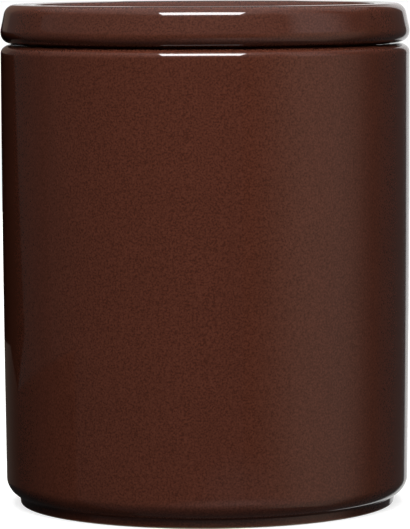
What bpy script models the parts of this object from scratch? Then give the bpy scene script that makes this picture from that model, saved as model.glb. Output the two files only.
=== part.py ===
"""Storage jar in glazed stoneware: a turned pot on a foot ring, a dished lid, and the seal on the lid's plug.

Metres, +Z up. The origin is the centre of the foot ring's standing face, and Z is the jar's axis.
"""
import math

import bmesh
import bpy
from mathutils import Vector

# How finely the round forms are drawn
SEGMENTS = 64                   # flats round each turned piece, the same on all so that they nest
ARC_TOLERANCE = 0.00006         # how far a rounding's chords may fall from its arc
SIDE_STEPS = 7                  # straights down the jar's gently curved side
SHARP_ANGLE = math.radians(38)  # a fold above this angle is shaded as an edge

# Gaps between pieces that touch
SEAT_GAP = 0.0003               # between the lid's underside and the land it rests on
SEAL_GAP = 0.0003               # round the seal, to its groove and to the mouth

# Jar wall
JAR_RADIUS = 0.0600             # the side at its widest, below the shoulder
JAR_HEIGHT = 0.1354             # from the standing face to the land that carries the lid
SIDE_STRAIGHT = 0.0162          # from the land down to where the side begins to draw in
SIDE_DRAW_IN = 0.0007           # how much narrower the side is when it reaches the lower corner
WALL = 0.0060
FLOOR = 0.0064
SHOULDER_BEVEL = 0.0017         # the shoulder's slope at 45 degrees, across and down
SHOULDER_UPPER_ROUND = 0.0036   # where that slope leaves the land
SHOULDER_LOWER_ROUND = 0.0021   # where it meets the side
MOUTH_ROUND = 0.0010            # inner edge of the land
LOWER_CORNER_ROUND = 0.0050
UNDERCUT_ANGLE = math.radians(62)   # how far the lower corner turns under before it meets the foot
INNER_CORNER_ROUND = 0.0080     # between the wall and the floor, inside

# Foot ring
FOOT_INSET = 0.00475            # how far the foot stands in from the side, at the standing face
FOOT_HEIGHT = 0.0026
FOOT_TAPER = 0.0003             # how much wider the foot is at its top
FOOT_WIDTH = 0.0052
FOOT_RECESS = 0.0024            # how far the underside is hollowed inside the ring
FOOT_COVE = 0.0005              # where the foot leaves the lower corner
FOOT_EDGE_ROUND = 0.0006
FOOT_INNER_ROUND = 0.0012       # where the ring meets the underside

# Lid, heights counted from its resting underside
LID_RISE = 0.0112               # to the edges of the rim's top
LID_FLARE = math.radians(12)    # how far the rim's side leans out downwards
LID_UNDER_ROUND = 0.0034        # the rim's lower edge, which forms the finger groove
RIM_WIDTH = 0.0086
RIM_CROWN = 0.0003              # how much the middle of the rim's top stands above its edges
RIM_CROWN_ROUND = 0.0120
RIM_OUTER_ROUND = 0.0033
RIM_INNER_ROUND = 0.0016
DISH_DEPTH = 0.0065
DISH_SLOPE = math.radians(42)   # how far the dish's wall leans from upright
DISH_CORNER_ROUND = 0.0080
LID_FLOOR = 0.0050

# Plug under the lid
PLUG_CLEARANCE = 0.0040         # room between the plug and the mouth, which the seal closes
PLUG_DEPTH = 0.0100
PLUG_WALL = 0.0046
PLUG_ROOT_ROUND = 0.0006
PLUG_EDGE_ROUND = 0.0010
PLUG_HOLLOW_ROUND = 0.0030
GROOVE_DROP = 0.0026            # from the lid's underside to the groove that holds the seal
GROOVE_HEIGHT = 0.0046
GROOVE_DEPTH = 0.0014

# Seal
SEAL_BAND = 0.0017              # thickness of the band that lies in the groove
SEAL_BAND_ROUND = 0.0003
FIN_COUNT = 2
FIN_ROOT = 0.0012               # thickness of a fin where it leaves the band
FIN_TIP = 0.0006
FIN_RISE = 0.0010               # how much higher a fin's tip lies than its root
FIN_TIP_ROUND = 0.0003

# Where the crown's crest lies across the rim, as a share of the rim's width from its outer edge
RIM_CREST_SHARE = 0.5

# Fits that follow from the sizes above
MOUTH_RADIUS = JAR_RADIUS - WALL
PLUG_RADIUS = MOUTH_RADIUS - PLUG_CLEARANCE
GROOVE_RADIUS = PLUG_RADIUS - GROOVE_DEPTH
INNER_FLOOR = FOOT_RECESS + FLOOR
FOOT_RADIUS = JAR_RADIUS - FOOT_INSET
FOOT_TOP_RADIUS = FOOT_RADIUS + FOOT_TAPER


def clear_scene():
    for item in list(bpy.data.objects):
        bpy.data.objects.remove(item, do_unlink=True)


def finish(name, colour, roughness):
    """Plain Principled material; the colour is linear."""
    material = bpy.data.materials.new(name)
    material.use_nodes = True
    shader = material.node_tree.nodes["Principled BSDF"]
    shader.inputs["Base Color"].default_value = (*colour, 1.0)
    shader.inputs["Roughness"].default_value = roughness
    shader.inputs["Metallic"].default_value = 0.0
    return material


def rounded(corners, closed=False):
    """Outline through corners given as (radius from the axis, height, rounding).

    Each corner becomes an arc that is tangent to both of its sides. Where two neighbouring arcs would
    need more than the side between them, both are drawn smaller, in proportion.
    """
    places = [Vector((x, z)) for x, z, _ in corners]
    count = len(corners)
    last_side = count if closed else count - 1

    turns = []
    for i, place in enumerate(places):
        if not closed and i in (0, count - 1):
            turns.append(0.0)
            continue
        before = place - places[i - 1]
        after = places[(i + 1) % count] - place
        turns.append(before.angle(after))
    reaches = [corner[2] * math.tan(turn / 2) for corner, turn in zip(corners, turns)]

    fits = [1.0] * count
    for i in range(last_side):
        j = (i + 1) % count
        wanted = reaches[i] + reaches[j]
        length = (places[j] - places[i]).length
        if wanted > length:
            fits[i] = min(fits[i], length / wanted)
            fits[j] = min(fits[j], length / wanted)

    outline = []
    for i, place in enumerate(places):
        radius = corners[i][2] * fits[i]
        if radius * turns[i] < ARC_TOLERANCE:
            outline.append(place)
            continue
        outline.extend(arc(place, places[i - 1], places[(i + 1) % count], radius, turns[i]))
    return outline


def arc(corner, previous, following, radius, turn):
    """Points of the rounding at a corner, from the side before it to the side after it."""
    reach = radius * math.tan(turn / 2)
    to_previous = (previous - corner).normalized()
    to_following = (following - corner).normalized()
    centre = corner + (to_previous + to_following).normalized() * math.hypot(radius, reach)
    start = corner + to_previous * reach - centre
    finest = 2 * math.acos(max(0.0, 1 - ARC_TOLERANCE / radius))
    steps = max(2, math.ceil(turn / finest))
    side = math.copysign(1.0, to_previous.cross(to_following))
    points = []
    for step in range(steps + 1):
        angle = -side * turn * step / steps
        cosine = math.cos(angle)
        sine = math.sin(angle)
        swung = Vector((start.x * cosine - start.y * sine, start.x * sine + start.y * cosine))
        points.append(centre + swung)
    return points


def turned(name, outline, material, closed=False):
    """Piece turned on the Z axis from an outline that is closed or that starts and ends on the axis."""
    shape = bmesh.new()
    ring = [shape.verts.new((point.x, 0.0, point.y)) for point in outline]
    sides = [shape.edges.new(pair) for pair in zip(ring, ring[1:])]
    if closed:
        sides.append(shape.edges.new((ring[-1], ring[0])))
    bmesh.ops.spin(
        shape,
        geom=ring + sides,
        cent=(0.0, 0.0, 0.0),
        axis=(0.0, 0.0, 1.0),
        angle=math.tau,
        steps=SEGMENTS,
        use_merge=True,
    )
    bmesh.ops.remove_doubles(shape, verts=shape.verts, dist=ARC_TOLERANCE / SEGMENTS)
    bmesh.ops.recalc_face_normals(shape, faces=shape.faces)

    mesh = bpy.data.meshes.new(name)
    shape.to_mesh(mesh)
    shape.free()
    mesh.materials.append(material)
    mesh.shade_smooth()
    mesh.set_sharp_from_angle(angle=SHARP_ANGLE)
    piece = bpy.data.objects.new(name, mesh)
    bpy.context.collection.objects.link(piece)
    return piece


def side_radius(height):
    """Outer radius of the jar's side: straight below the shoulder, then drawn in more and more."""
    drop = JAR_HEIGHT - SIDE_STRAIGHT - height
    if drop <= 0:
        return JAR_RADIUS
    run = JAR_HEIGHT - SIDE_STRAIGHT - FOOT_HEIGHT - LOWER_CORNER_ROUND
    return JAR_RADIUS - SIDE_DRAW_IN * min(drop / run, 1.0) ** 2


def side_heights(bottom):
    """Heights down the drawn-in side, from its start to a bottom height."""
    top = JAR_HEIGHT - SIDE_STRAIGHT
    return [top + (bottom - top) * step / SIDE_STEPS for step in range(SIDE_STEPS + 1)]


def jar_outline():
    """From the floor inside, up the wall, over the land, down the outside and in under the foot."""
    inner_bottom = INNER_FLOOR + INNER_CORNER_ROUND
    outer_bottom = FOOT_HEIGHT + LOWER_CORNER_ROUND
    waist = JAR_RADIUS - SIDE_DRAW_IN
    corner_height = FOOT_HEIGHT + (waist - FOOT_TOP_RADIUS) / math.tan(UNDERCUT_ANGLE)
    foot_inner = FOOT_RADIUS - FOOT_WIDTH

    corners = [
        (0.0, INNER_FLOOR, 0.0),
        (side_radius(inner_bottom) - WALL, INNER_FLOOR, INNER_CORNER_ROUND),
    ]
    for height in reversed(side_heights(inner_bottom)):
        corners.append((side_radius(height) - WALL, height, 0.0))
    corners += [
        (MOUTH_RADIUS, JAR_HEIGHT, MOUTH_ROUND),
        (JAR_RADIUS - SHOULDER_BEVEL, JAR_HEIGHT, SHOULDER_UPPER_ROUND),
        (JAR_RADIUS, JAR_HEIGHT - SHOULDER_BEVEL, SHOULDER_LOWER_ROUND),
    ]
    for height in side_heights(outer_bottom):
        corners.append((side_radius(height), height, 0.0))
    corners += [
        (waist, corner_height, LOWER_CORNER_ROUND),
        (FOOT_TOP_RADIUS, FOOT_HEIGHT, FOOT_COVE),
        (FOOT_RADIUS, 0.0, FOOT_EDGE_ROUND),
        (foot_inner, 0.0, FOOT_EDGE_ROUND),
        (foot_inner, FOOT_RECESS, FOOT_INNER_ROUND),
        (0.0, FOOT_RECESS, 0.0),
    ]
    return rounded(corners)


def lid_outline():
    """From the dish's middle, over the rim, down its flared side, along the plug and in under the floor."""
    widest = JAR_RADIUS
    lean = math.sin(LID_FLARE)
    lower_corner = widest + LID_UNDER_ROUND * ((1 + lean) / math.cos(LID_FLARE) - 1)
    rim_outer = lower_corner - LID_RISE * math.tan(LID_FLARE)
    rim_inner = rim_outer - RIM_WIDTH
    dish_floor = LID_RISE - DISH_DEPTH
    hollow_top = dish_floor - LID_FLOOR
    groove_top = -GROOVE_DROP
    groove_bottom = groove_top - GROOVE_HEIGHT
    plug_inner = PLUG_RADIUS - PLUG_WALL
    return rounded([
        (0.0, dish_floor, 0.0),
        (rim_inner - DISH_DEPTH * math.tan(DISH_SLOPE), dish_floor, DISH_CORNER_ROUND),
        (rim_inner, LID_RISE, RIM_INNER_ROUND),
        (rim_outer - RIM_WIDTH * RIM_CREST_SHARE, LID_RISE + RIM_CROWN, RIM_CROWN_ROUND),
        (rim_outer, LID_RISE, RIM_OUTER_ROUND),
        (lower_corner, 0.0, LID_UNDER_ROUND),
        (PLUG_RADIUS, 0.0, PLUG_ROOT_ROUND),
        (PLUG_RADIUS, groove_top, 0.0),
        (GROOVE_RADIUS, groove_top, 0.0),
        (GROOVE_RADIUS, groove_bottom, 0.0),
        (PLUG_RADIUS, groove_bottom, 0.0),
        (PLUG_RADIUS, -PLUG_DEPTH, PLUG_EDGE_ROUND),
        (plug_inner, -PLUG_DEPTH, PLUG_EDGE_ROUND),
        (plug_inner, hollow_top, PLUG_HOLLOW_ROUND),
        (0.0, hollow_top, 0.0),
    ])


def seal_outline():
    """Band that lies in the groove, with fins that rise outwards to the mouth, heights from its lower face."""
    band_height = GROOVE_HEIGHT - 2 * SEAL_GAP
    band_inner = GROOVE_RADIUS + SEAL_GAP
    band_outer = band_inner + SEAL_BAND
    tip = MOUTH_RADIUS - SEAL_GAP
    pitch = (band_height - FIN_ROOT) / (FIN_COUNT - 1)
    corners = [
        (band_inner, band_height, SEAL_BAND_ROUND),
        (band_inner, 0.0, SEAL_BAND_ROUND),
    ]
    for fin in range(FIN_COUNT):
        root = fin * pitch
        tip_bottom = root + FIN_RISE + (FIN_ROOT - FIN_TIP) / 2
        corners += [
            (band_outer, root, 0.0),
            (tip, tip_bottom, FIN_TIP_ROUND),
            (tip, tip_bottom + FIN_TIP, FIN_TIP_ROUND),
            (band_outer, root + FIN_ROOT, 0.0),
        ]
    return rounded(corners, closed=True)


def lid_axis():
    """Empty on the jar's axis at the land, which carries what lifts off and turns."""
    axis = bpy.data.objects.new("lid_axis", None)
    axis.location = (0.0, 0.0, JAR_HEIGHT)
    bpy.context.collection.objects.link(axis)
    return axis


def build():
    clear_scene()
    brown_glaze = (0.073, 0.024, 0.016)
    milky_silicone = (0.62, 0.60, 0.55)

    turned("jar_body", jar_outline(), finish("jar_glaze", brown_glaze, 0.12))

    axis = lid_axis()
    lid = turned("lid", lid_outline(), finish("lid_glaze", brown_glaze, 0.12))
    lid.parent = axis
    lid.location = (0.0, 0.0, SEAT_GAP)

    seal = turned("seal_ring", seal_outline(), finish("silicone", milky_silicone, 0.45), closed=True)
    seal.parent = axis
    seal.location = (0.0, 0.0, SEAT_GAP - GROOVE_DROP - GROOVE_HEIGHT + SEAL_GAP)


build()
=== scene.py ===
import math

import bmesh
import bpy
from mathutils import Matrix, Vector


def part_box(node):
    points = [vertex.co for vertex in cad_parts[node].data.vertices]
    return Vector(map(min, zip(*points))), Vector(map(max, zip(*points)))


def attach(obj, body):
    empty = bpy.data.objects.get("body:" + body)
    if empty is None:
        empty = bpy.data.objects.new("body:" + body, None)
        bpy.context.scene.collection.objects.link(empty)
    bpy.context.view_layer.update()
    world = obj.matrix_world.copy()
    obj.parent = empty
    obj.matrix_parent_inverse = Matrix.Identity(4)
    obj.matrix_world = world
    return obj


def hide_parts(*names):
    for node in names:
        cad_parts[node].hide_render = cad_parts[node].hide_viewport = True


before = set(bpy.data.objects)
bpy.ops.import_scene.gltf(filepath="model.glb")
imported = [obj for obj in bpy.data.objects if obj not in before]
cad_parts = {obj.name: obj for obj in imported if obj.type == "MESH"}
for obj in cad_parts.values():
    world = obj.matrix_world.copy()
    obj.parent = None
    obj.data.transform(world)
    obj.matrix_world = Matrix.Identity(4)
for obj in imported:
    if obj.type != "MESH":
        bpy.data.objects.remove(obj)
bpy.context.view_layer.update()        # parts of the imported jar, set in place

# Looks of a storage jar in brown glazed stoneware: the turned pot, its dished lid, and the lid's silicone
# seal. Metres, +Z up. The jar's axis is Z and its standing face is at height 0, as in the imported model.

# How finely the turned pieces are drawn
QUARTER_SEGMENTS = 72               # flats in a quarter turn, with vertices on the X and Y axes
MERGE_DISTANCE = 0.000001
ROUNDING_STEP = math.radians(7)     # most that one chord of a rounding turns
LONGEST_SIDE = 0.0020               # outline sides are cut to this, so that the edges' tint fades out
SHARP_ANGLE = math.radians(35)      # a fold above this angle is shaded as an edge

# Jar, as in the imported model
JAR_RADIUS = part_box("jar_body")[1].x
JAR_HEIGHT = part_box("jar_body")[1].z
SIDE_STRAIGHT = 0.0162              # from the land down to where the side begins to draw in
SIDE_DRAW_IN = 0.0007
SIDE_STEPS = 24                     # straights down that side
WALL = 0.0060
FLOOR = 0.0064
SHOULDER_BEVEL = 0.0017
SHOULDER_UPPER_ROUND = 0.0036
SHOULDER_LOWER_ROUND = 0.0021
MOUTH_ROUND = 0.0010
LOWER_CORNER_ROUND = 0.0050
UNDERCUT_ANGLE = math.radians(62)
INNER_CORNER_ROUND = 0.0080

# Foot ring
FOOT_INSET = 0.00475
FOOT_HEIGHT = 0.0026
FOOT_TAPER = 0.0003
FOOT_WIDTH = 0.0052
FOOT_RECESS = 0.0024
FOOT_COVE = 0.0005
FOOT_EDGE_ROUND = 0.0006
FOOT_INNER_ROUND = 0.0012
GLAZE_THICKNESS = 0.00010           # step where the glaze ends above the bare clay
GLAZE_LINE = 0.00035                # height of that step above the standing face

# Lid, heights counted from its resting underside
SEAT_GAP = 0.0003                   # between that underside and the land it rests on
LID_SEAT = JAR_HEIGHT + SEAT_GAP
LID_RISE = 0.0112
LID_FLARE = math.radians(12)
LID_UNDER_ROUND = 0.0034
RIM_WIDTH = 0.0086
RIM_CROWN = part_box("lid")[1].z - LID_SEAT - LID_RISE
RIM_CROWN_ROUND = 0.0120
RIM_OUTER_ROUND = 0.0033
RIM_INNER_ROUND = 0.0016
DISH_DEPTH = 0.0065
DISH_SLOPE = math.radians(42)
DISH_CORNER_ROUND = 0.0080
LID_FLOOR = 0.0050

# Plug under the lid
PLUG_CLEARANCE = 0.0040
PLUG_DEPTH = LID_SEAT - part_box("lid")[0].z
PLUG_WALL = 0.0046
PLUG_ROOT_ROUND = 0.0006
PLUG_EDGE_ROUND = 0.0010
PLUG_HOLLOW_ROUND = 0.0030
GROOVE_DROP = 0.0026
GROOVE_HEIGHT = 0.0046
GROOVE_DEPTH = 0.0014

# Seal
SEAL_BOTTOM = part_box("seal_ring")[0].z
SEAL_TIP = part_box("seal_ring")[1].x
SEAL_GAP = 0.0003
SEAL_BAND = 0.0017
SEAL_BAND_ROUND = 0.0003
FIN_COUNT = 2
FIN_ROOT = 0.0012
FIN_TIP = 0.0006
FIN_RISE = 0.0010
FIN_TIP_ROUND = 0.00028

# Camera, in front of the jar and a little above it
CAMERA_DISTANCE = 1.0883
CAMERA_HEIGHT = 0.1648
CAMERA_TILT = math.radians(4.971)   # below level
CAMERA_ROLL = math.radians(-0.284)  # the photograph leans a little
CAMERA_SENSOR = 36.0                # millimetres, along the picture's long side
CAMERA_LENS = 251.7                 # millimetres
CAMERA_SHIFT = -0.0021              # the jar stands a pixel right of the picture's middle

# Fits that follow from the sizes above
MOUTH_RADIUS = JAR_RADIUS - WALL
PLUG_RADIUS = MOUTH_RADIUS - PLUG_CLEARANCE
GROOVE_RADIUS = PLUG_RADIUS - GROOVE_DEPTH
INNER_FLOOR = FOOT_RECESS + FLOOR
FOOT_RADIUS = JAR_RADIUS - FOOT_INSET
FOOT_TOP_RADIUS = FOOT_RADIUS + FOOT_TAPER

# Glaze
GLAZE_BREAK = "glaze_break"         # vertex attribute: 1 on tight outer edges, -1 in tight hollows
TIGHT_ROUND = 0.0010                # rounding, for a turn of one radian, at which the attribute is full

# Studio
FLOOR_GAP = 0.0001                  # of air under the standing face
FLOOR_RADIUS = 1.2
DISC_SEGMENTS = 96                  # flats round the floor and the pools of light
CARD_STEPS = 24                     # flats in a bent card
FAR = 1.3                           # from the jar's axis to the cards that stand for the room
NEAR = 0.5                          # and to the black flag with the cards under it
CARD_BOTTOM = -1.2                  # far below the table, which the glaze doesn't mirror
ROOM_RADIANCE = 0.06                # of the room round the table, as the glaze mirrors it
SHADE_RADIANCE = 0.015              # of its darkest corner
WHITE = "#ffffff"
WARM_WHITE = "#ffe4d2"


# Shapes

def piece_from(name, shape, finishes):
    """Object with the finished shape and its materials."""
    mesh = bpy.data.meshes.new(name)
    shape.to_mesh(mesh)
    shape.free()
    for finish in finishes:
        mesh.materials.append(finish)
    piece = bpy.data.objects.new(name, mesh)
    bpy.context.collection.objects.link(piece)
    return piece


def round_corners(shape, corners):
    """Bevels the outline's corners, and marks where glaze would run thin or pool."""
    glaze_break = shape.verts.layers.float.new(GLAZE_BREAK)
    places = [Vector((radius, 0.0, height)) for radius, height, _ in corners]
    for i, place in enumerate(places):
        rounding = corners[i][2]
        if rounding == 0.0:
            continue
        before = place - places[i - 1]
        after = places[(i + 1) % len(places)] - place
        turn = before.angle(after)
        corner = min(shape.verts, key=lambda vertex: (vertex.co - place).length)
        rounded = bmesh.ops.bevel(
            shape,
            geom=[corner],
            offset=rounding * math.tan(turn / 2),
            segments=math.ceil(turn / ROUNDING_STEP),
            profile=0.5,
            affect="VERTICES",
            material=-1,
        )
        tightness = min(1.0, turn * TIGHT_ROUND / rounding)
        outward = math.copysign(tightness, before.cross(after).y)
        for vertex in rounded["verts"]:
            vertex[glaze_break] = outward


def cut_long_sides(shape):
    """Cuts the outline's long sides into equal lengths."""
    for edge in list(shape.edges):
        cuts = math.ceil(edge.calc_length() / LONGEST_SIDE) - 1
        if cuts > 0:
            bmesh.ops.subdivide_edges(shape, edges=[edge], cuts=cuts)


def turned(name, corners, finishes, closed=False):
    """Piece turned on the Z axis from an outline of (radius, height, rounding) corners.

    The outline starts and ends on the axis, unless it is closed.
    """
    shape = bmesh.new()
    ring = [shape.verts.new((radius, 0.0, height)) for radius, height, _ in corners]
    for pair in zip(ring, ring[1:]):
        shape.edges.new(pair)
    if closed:
        shape.edges.new((ring[-1], ring[0]))
    round_corners(shape, corners)
    cut_long_sides(shape)
    bmesh.ops.spin(
        shape,
        geom=shape.verts[:] + shape.edges[:],
        cent=(0.0, 0.0, 0.0),
        axis=(0.0, 0.0, 1.0),
        angle=math.pi / 2,
        steps=QUARTER_SEGMENTS,
    )
    for axis in ("X", "Y"):
        quarters = shape.verts[:] + shape.edges[:] + shape.faces[:]
        bmesh.ops.mirror(shape, geom=quarters, merge_dist=MERGE_DISTANCE, axis=axis)
    bmesh.ops.remove_doubles(shape, verts=shape.verts, dist=MERGE_DISTANCE)
    bmesh.ops.recalc_face_normals(shape, faces=shape.faces)
    piece = piece_from(name, shape, finishes)
    piece.data.shade_smooth()
    piece.data.set_sharp_from_angle(angle=SHARP_ANGLE)
    return piece


def bare_below(piece, height):
    """Gives the piece's second finish to the faces that lie below a height."""
    for face in piece.data.polygons:
        if face.center.z < height:
            face.material_index = 1


def side_radius(height):
    """Outer radius of the jar's side: straight below the shoulder, then drawn in more and more."""
    drop = max(0.0, JAR_HEIGHT - SIDE_STRAIGHT - height)
    run = JAR_HEIGHT - SIDE_STRAIGHT - FOOT_HEIGHT - LOWER_CORNER_ROUND
    return JAR_RADIUS - SIDE_DRAW_IN * min(drop / run, 1.0) ** 2


def side_heights(bottom):
    """Heights down the drawn-in side, from its start to a bottom height."""
    top = JAR_HEIGHT - SIDE_STRAIGHT
    return [top + (bottom - top) * step / SIDE_STEPS for step in range(SIDE_STEPS + 1)]


def jar_corners():
    """From the floor inside, up the wall, over the land, down the outside and in under the foot."""
    inner_bottom = INNER_FLOOR + INNER_CORNER_ROUND
    outer_bottom = FOOT_HEIGHT + LOWER_CORNER_ROUND
    waist = JAR_RADIUS - SIDE_DRAW_IN
    corner_height = FOOT_HEIGHT + (waist - FOOT_TOP_RADIUS) / math.tan(UNDERCUT_ANGLE)
    foot_inner = FOOT_RADIUS - FOOT_WIDTH
    inside = [(side_radius(z) - WALL, z, 0.0) for z in reversed(side_heights(inner_bottom))]
    outside = [(side_radius(z), z, 0.0) for z in side_heights(outer_bottom)]
    return [
        (0.0, INNER_FLOOR, 0.0),
        (side_radius(inner_bottom) - WALL, INNER_FLOOR, INNER_CORNER_ROUND),
        *inside[1:],
        (MOUTH_RADIUS, JAR_HEIGHT, MOUTH_ROUND),
        (JAR_RADIUS - SHOULDER_BEVEL, JAR_HEIGHT, SHOULDER_UPPER_ROUND),
        (JAR_RADIUS, JAR_HEIGHT - SHOULDER_BEVEL, SHOULDER_LOWER_ROUND),
        *outside[:-1],
        (waist, corner_height, LOWER_CORNER_ROUND),
        (FOOT_TOP_RADIUS, FOOT_HEIGHT, FOOT_COVE),
        (FOOT_RADIUS, GLAZE_LINE, GLAZE_THICKNESS),
        (FOOT_RADIUS - GLAZE_THICKNESS, GLAZE_LINE, 0.0),
        (FOOT_RADIUS - GLAZE_THICKNESS, 0.0, FOOT_EDGE_ROUND),
        (foot_inner, 0.0, FOOT_EDGE_ROUND),
        (foot_inner, FOOT_RECESS, FOOT_INNER_ROUND),
        (0.0, FOOT_RECESS, 0.0),
    ]


def lid_corners():
    """From the dish's middle, over the rim, down its flared side, along the plug and in under the lid."""
    lean = math.sin(LID_FLARE)
    lower_corner = JAR_RADIUS + LID_UNDER_ROUND * ((1 + lean) / math.cos(LID_FLARE) - 1)
    rim_outer = lower_corner - LID_RISE * math.tan(LID_FLARE)
    rim_inner = rim_outer - RIM_WIDTH
    dish_floor = LID_RISE - DISH_DEPTH
    groove_top = -GROOVE_DROP
    groove_bottom = groove_top - GROOVE_HEIGHT
    plug_inner = PLUG_RADIUS - PLUG_WALL
    corners = [
        (0.0, dish_floor, 0.0),
        (rim_inner - DISH_DEPTH * math.tan(DISH_SLOPE), dish_floor, DISH_CORNER_ROUND),
        (rim_inner, LID_RISE, RIM_INNER_ROUND),
        (rim_outer - RIM_WIDTH / 2, LID_RISE + RIM_CROWN, RIM_CROWN_ROUND),
        (rim_outer, LID_RISE, RIM_OUTER_ROUND),
        (lower_corner, 0.0, LID_UNDER_ROUND),
        (PLUG_RADIUS, 0.0, PLUG_ROOT_ROUND),
        (PLUG_RADIUS, groove_top, 0.0),
        (GROOVE_RADIUS, groove_top, 0.0),
        (GROOVE_RADIUS, groove_bottom, 0.0),
        (PLUG_RADIUS, groove_bottom, 0.0),
        (PLUG_RADIUS, -PLUG_DEPTH, PLUG_EDGE_ROUND),
        (plug_inner, -PLUG_DEPTH, PLUG_EDGE_ROUND),
        (plug_inner, dish_floor - LID_FLOOR, PLUG_HOLLOW_ROUND),
        (0.0, dish_floor - LID_FLOOR, 0.0),
    ]
    return [(radius, LID_SEAT + height, rounding) for radius, height, rounding in corners]


def seal_corners():
    """Band that lies in the plug's groove, with fins that rise outwards to the mouth."""
    band_height = GROOVE_HEIGHT - 2 * SEAL_GAP
    band_inner = GROOVE_RADIUS + SEAL_GAP
    band_outer = band_inner + SEAL_BAND
    pitch = (band_height - FIN_ROOT) / (FIN_COUNT - 1)
    corners = [(band_inner, band_height, SEAL_BAND_ROUND), (band_inner, 0.0, SEAL_BAND_ROUND)]
    for fin in range(FIN_COUNT):
        root = fin * pitch
        tip_bottom = root + FIN_RISE + (FIN_ROOT - FIN_TIP) / 2
        corners += [
            (band_outer, root, 0.0),
            (SEAL_TIP, tip_bottom, FIN_TIP_ROUND),
            (SEAL_TIP, tip_bottom + FIN_TIP, FIN_TIP_ROUND),
            (band_outer, root + FIN_ROOT, 0.0),
        ]
    return [(radius, SEAL_BOTTOM + height, rounding) for radius, height, rounding in corners]


# Materials

def linear(colour):
    """Linear colour with alpha from an sRGB hex value."""
    channels = [int(colour[start:start + 2], 16) / 255 for start in (1, 3, 5)]
    return (*[c / 12.92 if c <= 0.04045 else ((c + 0.055) / 1.055) ** 2.4 for c in channels], 1.0)


def live(sockets, name=None):
    """First socket in use, of that name if one is given."""
    return next(s for s in sockets if s.enabled and name in (None, s.name))


def add(tree, kind, settings=None, **links):
    """Adds a node. Settings go to its properties or sockets, and links join others to its sockets."""
    node = tree.nodes.new(kind)
    for name, value in (settings or {}).items():
        if hasattr(node, name):
            setattr(node, name, value)
        else:
            live(node.inputs, name).default_value = value
    for name, source in links.items():
        output = source if isinstance(source, bpy.types.NodeSocket) else live(source.outputs)
        tree.links.new(output, live(node.inputs, name.replace("_", " ")))
    return node


def new_material(name):
    """Material with an emptied node tree and a Principled shader on its output."""
    material = bpy.data.materials.new(name)
    material.use_nodes = True
    tree = material.node_tree
    tree.nodes.clear()
    shader = add(tree, "ShaderNodeBsdfPrincipled")
    add(tree, "ShaderNodeOutputMaterial", Surface=shader)
    return material, tree, shader


def speckled_brown(tree, place, deep, pale):
    """Brown that clouds between a deep and a pale colour, with iron specks in the melt."""
    # Clouds of slightly different brown, about 9 mm across, as the dip ran and the kiln fired it
    clouds = add(tree, "ShaderNodeTexNoise", {
        "Scale": 110.0, "Detail": 2.0, "Roughness": 0.5,
    }, Vector=place)
    cloudy = add(tree, "ShaderNodeMix", {
        "data_type": "RGBA", "A": linear(deep), "B": linear(pale),
    }, Factor=clouds)
    # Specks of about 0.5 mm, drawn at their real size
    specks = add(tree, "ShaderNodeTexNoise", {
        "Scale": 1900.0, "Detail": 1.0, "Roughness": 0.5,
    }, Vector=place)
    speck_share = add(tree, "ShaderNodeMapRange", {
        "From Min": 0.3, "From Max": 0.7, "To Min": 0.0, "To Max": 1.0,
    }, Value=specks)
    return add(tree, "ShaderNodeMix", {
        "data_type": "RGBA", "blend_type": "MULTIPLY", "B": linear("#bfb8b2"),
    }, Factor=speck_share, A=cloudy)


def broken_at_edges(tree, brown):
    """Brown that shows the clay's red on tight edges, where it runs thin, and is deeper where it pools."""
    edge = add(tree, "ShaderNodeAttribute", {"attribute_name": GLAZE_BREAK}).outputs["Fac"]
    thin = add(tree, "ShaderNodeMapRange", {
        "From Min": 0.5, "From Max": 1.0, "To Min": 0.0, "To Max": 0.35,
    }, Value=edge)
    pooled = add(tree, "ShaderNodeMapRange", {
        "From Min": -0.15, "From Max": -1.0, "To Min": 0.0, "To Max": 0.45,
    }, Value=edge)
    reddened = add(tree, "ShaderNodeMix", {
        "data_type": "RGBA", "B": linear("#7a4430"),
    }, Factor=thin, A=brown)
    return add(tree, "ShaderNodeMix", {
        "data_type": "RGBA", "B": linear("#2a1712"),
    }, Factor=pooled, A=reddened)


def brown_gloss_glaze(name, deep, pale, turn):
    """Gloss glaze on stoneware: a glassy skin over iron brown with specks, redder where it runs thin.

    Its brown clouds between a deep and a pale colour. The turn, in radians, shows each piece a different
    part of the pattern.
    """
    material, tree, shader = new_material(name)
    place = add(tree, "ShaderNodeTexCoord").outputs["Object"]
    place = add(tree, "ShaderNodeMapping", {"Rotation": (turn, turn, 0.0)}, Vector=place)
    colour = broken_at_edges(tree, speckled_brown(tree, place, deep, pale))
    tree.links.new(live(colour.outputs), shader.inputs["Base Color"])

    # The melt's slow waves, 5 mm long and some thousandths of a millimetre deep, stir the reflections
    waves = add(tree, "ShaderNodeTexNoise", {"Scale": 190.0, "Detail": 1.0}, Vector=place)
    wavy = add(tree, "ShaderNodeBump", {"Strength": 1.0, "Distance": 0.000004}, Height=waves)
    tree.links.new(live(wavy.outputs), shader.inputs["Normal"])
    tree.links.new(live(wavy.outputs), shader.inputs["Coat Normal"])

    # The glassy coat does the mirroring, and the brown body under it hardly any
    shader.inputs["Roughness"].default_value = 0.35
    shader.inputs["IOR"].default_value = 1.5
    shader.inputs["Specular IOR Level"].default_value = 0.02
    shader.inputs["Coat Weight"].default_value = 1.0
    shader.inputs["Coat Roughness"].default_value = 0.01
    shader.inputs["Coat IOR"].default_value = 1.5
    return material


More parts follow.
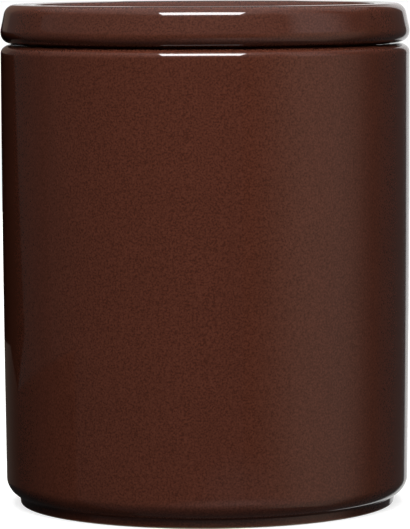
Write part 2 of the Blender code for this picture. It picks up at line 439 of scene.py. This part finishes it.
def bare_stoneware_clay():
    """Unglazed fired clay, sponged before firing: matt buff with fine grog."""
    material, tree, shader = new_material("stoneware_clay_unglazed")
    place = add(tree, "ShaderNodeTexCoord").outputs["Object"]
    # Grains of grog of about 0.6 mm, which colour the clay and stand a little proud
    grog = add(tree, "ShaderNodeTexNoise", {
        "Scale": 1600.0, "Detail": 3.0, "Roughness": 0.7,
    }, Vector=place)
    colour = add(tree, "ShaderNodeMix", {
        "data_type": "RGBA", "A": linear("#8c7a68"), "B": linear("#b5a48f"),
    }, Factor=grog)
    tree.links.new(live(colour.outputs), shader.inputs["Base Color"])
    grit = add(tree, "ShaderNodeBump", {"Strength": 0.6, "Distance": 0.00003}, Height=grog)
    tree.links.new(live(grit.outputs), shader.inputs["Normal"])
    shader.inputs["Roughness"].default_value = 0.85
    return material


def moulded_silicone():
    """Food-grade silicone, moulded: milky and soft, with a dull sheen that holds fine dust."""
    material, tree, shader = new_material("silicone_translucent_moulded")
    place = add(tree, "ShaderNodeTexCoord").outputs["Object"]
    # Milky clouds of about 5 mm
    haze = add(tree, "ShaderNodeTexNoise", {"Scale": 220.0, "Detail": 3.0}, Vector=place)
    colour = add(tree, "ShaderNodeMix", {
        "data_type": "RGBA", "A": linear("#dcdad3"), "B": linear("#ebe9e3"),
    }, Factor=haze)
    tree.links.new(live(colour.outputs), shader.inputs["Base Color"])
    # The mould's fine texture, with a grain of about 0.3 mm
    skin = add(tree, "ShaderNodeTexNoise", {"Scale": 3000.0, "Detail": 2.0}, Vector=place)
    matt = add(tree, "ShaderNodeBump", {"Strength": 0.3, "Distance": 0.00001}, Height=skin)
    tree.links.new(live(matt.outputs), shader.inputs["Normal"])
    shader.inputs["Roughness"].default_value = 0.42
    shader.inputs["IOR"].default_value = 1.41
    shader.inputs["Subsurface Weight"].default_value = 0.3
    shader.inputs["Subsurface Radius"].default_value = (1.0, 0.9, 0.8)
    shader.inputs["Subsurface Scale"].default_value = 0.002
    return material


# Studio

def around(azimuth, elevation, distance, centre_height):
    """Place round the jar's axis, at an azimuth to the right of the front and an elevation, in degrees."""
    turn = math.radians(azimuth)
    rise = math.radians(elevation)
    flat = distance * math.cos(rise)
    height = centre_height + distance * math.sin(rise)
    return Vector((flat * math.sin(turn), -flat * math.cos(turn), height))


def softbox(name, place, target, size, radiance, rays):
    """White area light that faces a target, with an even radiance that only diffuse or glossy rays see."""
    lamp = bpy.data.lights.new(name, "AREA")
    lamp.shape = "RECTANGLE"
    lamp.size, lamp.size_y = size
    lamp.energy = radiance * math.pi * lamp.size * lamp.size_y
    box = bpy.data.objects.new(name, lamp)
    bpy.context.collection.objects.link(box)
    box.location = place
    box.rotation_euler = (Vector(target) - Vector(place)).to_track_quat("-Z", "Y").to_euler()
    box.visible_camera = False
    box.visible_diffuse = rays == "diffuse"
    box.visible_glossy = rays == "glossy"


def mirrored(name, shape):
    """Stage piece which shows only as a reflection in the glaze. Gives back its empty node tree."""
    material = bpy.data.materials.new(name)
    material.use_nodes = True
    tree = material.node_tree
    tree.nodes.clear()
    piece = piece_from(name, shape, [material])
    piece.visible_camera = False
    piece.visible_diffuse = False
    piece.visible_shadow = False
    return tree


def disc(radius, centre):
    """Level disc round a centre."""
    shape = bmesh.new()
    bmesh.ops.create_circle(shape, cap_ends=True, segments=DISC_SEGMENTS, radius=radius)
    bmesh.ops.translate(shape, verts=shape.verts, vec=centre)
    return shape


def bent_sheet(distance, first, last):
    """Sheet bent round the jar's axis, from one upright edge at (azimuth, low, high) to another."""
    shape = bmesh.new()
    uprights = []
    for step in range(CARD_STEPS + 1):
        share = step / CARD_STEPS
        azimuth, low, high = [a + (b - a) * share for a, b in zip(first, last)]
        ends = [shape.verts.new(around(azimuth, 0, distance, height)) for height in (low, high)]
        uprights.append(shape.edges.new(ends))
    for pair in zip(uprights, uprights[1:]):
        bmesh.ops.bridge_loops(shape, edges=list(pair))
    return shape


def soft_strength(tree, soft, base, radiance):
    """Radiance that rises from a base and falls back to it, over the four azimuths of a soft card."""
    place = add(tree, "ShaderNodeTexCoord").outputs["Object"]
    gradient = add(tree, "ShaderNodeTexGradient", {"gradient_type": "RADIAL"}, Vector=place)
    both = add(tree, "ShaderNodeMath", {"operation": "MULTIPLY"})
    # The gradient is a quarter at azimuth 0, and grows by 1 in a full turn
    rise_start, rise_end, fall_start, fall_end = [0.25 + azimuth / 360 for azimuth in soft]
    for side, (dark, full) in enumerate([(rise_start, rise_end), (fall_end, fall_start)]):
        edge = add(tree, "ShaderNodeMapRange", {
            "interpolation_type": "SMOOTHSTEP", "From Min": dark, "From Max": full,
        }, Value=gradient.outputs["Fac"])
        tree.links.new(live(edge.outputs), both.inputs[side])
    return add(tree, "ShaderNodeMapRange", {"To Min": base, "To Max": radiance}, Value=both)


def card(name, distance, first, last, radiance, colour=WHITE, soft=None, base=ROOM_RADIANCE):
    """Card bent from one upright edge to another, of an even radiance unless it is soft.

    A soft card rises from a base radiance at the first of four azimuths to its own at the second, and
    falls again from the third to the fourth.
    """
    tree = mirrored(name, bent_sheet(distance, first, last))
    glow = add(tree, "ShaderNodeEmission", {"Color": linear(colour), "Strength": radiance})
    add(tree, "ShaderNodeOutputMaterial", Surface=glow)
    if soft:
        strength = soft_strength(tree, soft, base, radiance)
        tree.links.new(live(strength.outputs), glow.inputs["Strength"])


def row_of_cards(distance, edges, cards):
    """Cards side by side between upright edges, from the names of the cards and the finish of each."""
    for (name, finish), first, last in zip(cards.items(), edges, edges[1:]):
        card(name, distance, first, last, **finish)


def pool_of_light(name, centre, radius, radiance):
    """White light on a level disc, full at its centre and fading to nothing at its rim."""
    tree = mirrored(name, disc(radius, centre))
    place = add(tree, "ShaderNodeTexCoord").outputs["Object"]
    centred = add(tree, "ShaderNodeMapping", {
        "Location": -Vector(centre) / radius, "Scale": (1 / radius, 1 / radius, 1 / radius),
    }, Vector=place)
    fade = add(tree, "ShaderNodeTexGradient", {"gradient_type": "SPHERICAL"}, Vector=centred)
    pool = add(tree, "ShaderNodeMixShader", Fac=fade.outputs["Fac"])
    clear = add(tree, "ShaderNodeBsdfTransparent")
    glow = add(tree, "ShaderNodeEmission", {"Color": linear(WHITE), "Strength": radiance})
    tree.links.new(live(clear.outputs), pool.inputs[1])
    tree.links.new(live(glow.outputs), pool.inputs[2])
    add(tree, "ShaderNodeOutputMaterial", Surface=pool)


def pale_floor():
    """Plain matt table, which the glaze doesn't mirror and which glows, to be as white as the world."""
    material, _, shader = new_material("floor_matt_white")
    shader.inputs["Base Color"].default_value = linear("#a0a0a0")
    shader.inputs["Emission Color"].default_value = linear(WHITE)
    shader.inputs["Emission Strength"].default_value = 0.8
    shader.inputs["Roughness"].default_value = 0.9
    shader.inputs["Specular IOR Level"].default_value = 0.0
    floor = piece_from("floor", disc(FLOOR_RADIUS, (0.0, 0.0, -FLOOR_GAP)), [material])
    floor.visible_glossy = False
    floor.visible_diffuse = False


def white_surroundings():
    """World that is white behind the jar, dim where the glaze mirrors it, and lights nothing else."""
    world = bpy.data.worlds.new("studio")
    bpy.context.scene.world = world
    world.cycles_visibility.diffuse = False
    world.use_nodes = True
    tree = world.node_tree
    tree.nodes.clear()
    rays = add(tree, "ShaderNodeLightPath")
    dim = add(tree, "ShaderNodeBackground", {"Color": linear(WHITE), "Strength": ROOM_RADIANCE})
    white = add(tree, "ShaderNodeBackground", {"Color": linear(WHITE), "Strength": 1.0})
    seen = add(tree, "ShaderNodeMixShader")
    tree.links.new(rays.outputs["Is Camera Ray"], seen.inputs[0])
    tree.links.new(live(dim.outputs), seen.inputs[1])
    tree.links.new(live(white.outputs), seen.inputs[2])
    add(tree, "ShaderNodeOutputWorld", Surface=seen)


def diffuse_lights():
    """Softboxes round the jar that bring out its brown, its bare clay and the silicone."""
    height = 0.1        # in the jar's upper half, where all but the bounce are aimed
    middle = (0.0, 0.0, height)
    softbox("key", around(0, 55, 0.92, height), middle, size=(0.8, 0.65), radiance=10.3, rays="diffuse")
    softbox("side", around(85, 0, 1.3, height), middle, size=(0.5, 0.6), radiance=2.6, rays="diffuse")
    softbox("back", around(180, 50, 1.5, height), middle, size=(1.2, 0.8), radiance=8.0, rays="diffuse")
    softbox("low_front", around(0, 3, 1.2, height), middle, size=(0.9, 0.25), radiance=2.2, rays="diffuse")
    softbox("low_back", around(180, 3, 1.2, height), middle, size=(0.9, 0.25), radiance=4.0, rays="diffuse")
    # Light that the table in front throws up at the jar's lower half
    place = Vector((0.0, -0.18, -0.002))
    straight_up = place + Vector((0.0, 0.0, 1.0))
    softbox("bounce", place, straight_up, size=(0.4, 0.28), radiance=0.18, rays="diffuse")


def mirrored_lights():
    """Lights that the glaze mirrors: a strip above the camera with its glow, and two fading pools."""
    place = around(-2.5, 53.0, 1.33, 0.13)
    softbox("strip", place, (0.0, 0.0, 0.45), size=(0.894, 0.645), radiance=22.0, rays="glossy")
    pool_of_light("ceiling", (0.0, 0.0, 1.5), radius=2.4, radiance=0.75)
    pool_of_light("table_front", (0.2, -0.62, -0.15), radius=0.5, radiance=0.4)
    card("strip_glow", 1.25, (-26.7, 0.77, 1.10), (24.5, 0.77, 1.10), radiance=0.5)


def mirrored_room():
    """Cards that stand for the room: dim in front and at the left, bright at the right and behind."""
    shelf = 0.41        # height at which upper cards stand on lower ones, in front and at the right
    left_shelf = 0.18   # and at the left
    card("front_upper", FAR, (-105, shelf, 1.22), (46, shelf, 1.22), radiance=0.17)
    card(
        "side_upper", FAR, (42, shelf, 1.6), (96, shelf, 1.6),
        radiance=0.70, colour="#fff4f2", soft=(42, 57, 68, 96),
    )
    card(
        "side_card", FAR, (20, -1.4, shelf), (112, -1.4, shelf),
        radiance=0.50, colour=WARM_WHITE, soft=(20, 60, 74, 108),
    )
    card("dim_right", FAR, (112, CARD_BOTTOM, 1.0), (154, CARD_BOTTOM, 1.0), radiance=0.05)
    backdrop_edges = [
        (154, CARD_BOTTOM, 1.4),
        (166, CARD_BOTTOM, 0.5),
        (177.6, CARD_BOTTOM, 0.44),
        (182.2, CARD_BOTTOM, 0.42),
        (187, CARD_BOTTOM, 0.38),
    ]
    row_of_cards(FAR, backdrop_edges, {
        "backdrop_side": {"radiance": 0.8},
        "backdrop_right": {"radiance": 0.8},
        "backdrop_middle": {"radiance": 0.33},
        "backdrop_left": {"radiance": 0.75},
    })
    card(
        "left_upper", FAR, (187, left_shelf, 0.9), (214, left_shelf, 0.9),
        radiance=0.14, colour=WARM_WHITE,
    )
    card("dim_left", FAR, (187, CARD_BOTTOM, left_shelf), (264, CARD_BOTTOM, left_shelf), radiance=0.04)


def mirrored_flag():
    """Black flag close by at the back left, which darkens the jar's left edge, and dim cards under it."""
    ledge = -0.09       # height at which the cards under the flag stand on the lowest one
    flag_edges = [(180, -0.003, 0.155), (217.6, -0.006, 0.141), (230.3, -0.025, 0.135), (240.8, 0.0, 0.0)]
    black = {"radiance": 0.0}
    row_of_cards(NEAR, flag_edges, {"flag": black, "flag_middle": black, "flag_end": black})

    glow = {
        "radiance": 0.055,
        "colour": WARM_WHITE,
        "soft": (180, 185, 208, 238),
        "base": SHADE_RADIANCE,
    }
    shade = {"radiance": SHADE_RADIANCE}
    low_edges = [
        (190, ledge, -0.003),
        (217.6, ledge, -0.006),
        (230.3, ledge, -0.025),
        (285, ledge, -0.005),
    ]
    row_of_cards(NEAR, low_edges, {"low_left": glow, "low_left_end": glow, "shade_left": shade})
    card("shade_low", NEAR, (190, CARD_BOTTOM, ledge), (285, CARD_BOTTOM, ledge), **shade)


def camera():
    """Long lens at the photograph's angle."""
    lens = bpy.data.cameras.new("camera")
    lens.lens = CAMERA_LENS
    lens.sensor_width = CAMERA_SENSOR
    lens.shift_x = CAMERA_SHIFT
    lens.clip_start = 0.01
    view = bpy.data.objects.new("camera", lens)
    bpy.context.collection.objects.link(view)
    view.location = (0.0, -CAMERA_DISTANCE, CAMERA_HEIGHT)
    view.rotation_mode = "ZXY"
    view.rotation_euler = (math.pi / 2 - CAMERA_TILT, 0.0, CAMERA_ROLL)
    bpy.context.scene.camera = view


def build():
    # The lid's glaze is a darker copy of the jar's. It is painted shade, which holds down the lid's
    # upturned face, where the key light falls more fully
    jar_glaze = brown_gloss_glaze("jar_brown_gloss_glaze", "#502a1e", "#552d21", 0.0)
    lid_glaze = brown_gloss_glaze("lid_brown_gloss_glaze", "#4b281c", "#502a1f", 1.3)
    clay = bare_stoneware_clay()

    jar = turned("jar_glazed", jar_corners(), [jar_glaze, clay])
    bare_below(jar, GLAZE_LINE)
    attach(jar, "jar")
    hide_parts("jar_body")

    lid = turned("lid_glazed", lid_corners(), [lid_glaze, clay])
    bare_below(lid, LID_SEAT - PLUG_DEPTH + PLUG_EDGE_ROUND / 2)
    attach(lid, "lid")
    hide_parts("lid")

    seal = turned("seal_moulded", seal_corners(), [moulded_silicone()], closed=True)
    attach(seal, "seal")
    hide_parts("seal_ring")

    white_surroundings()
    pale_floor()
    diffuse_lights()
    mirrored_lights()
    mirrored_room()
    mirrored_flag()
    camera()
    bpy.context.scene.view_settings.view_transform = "Standard"


build()
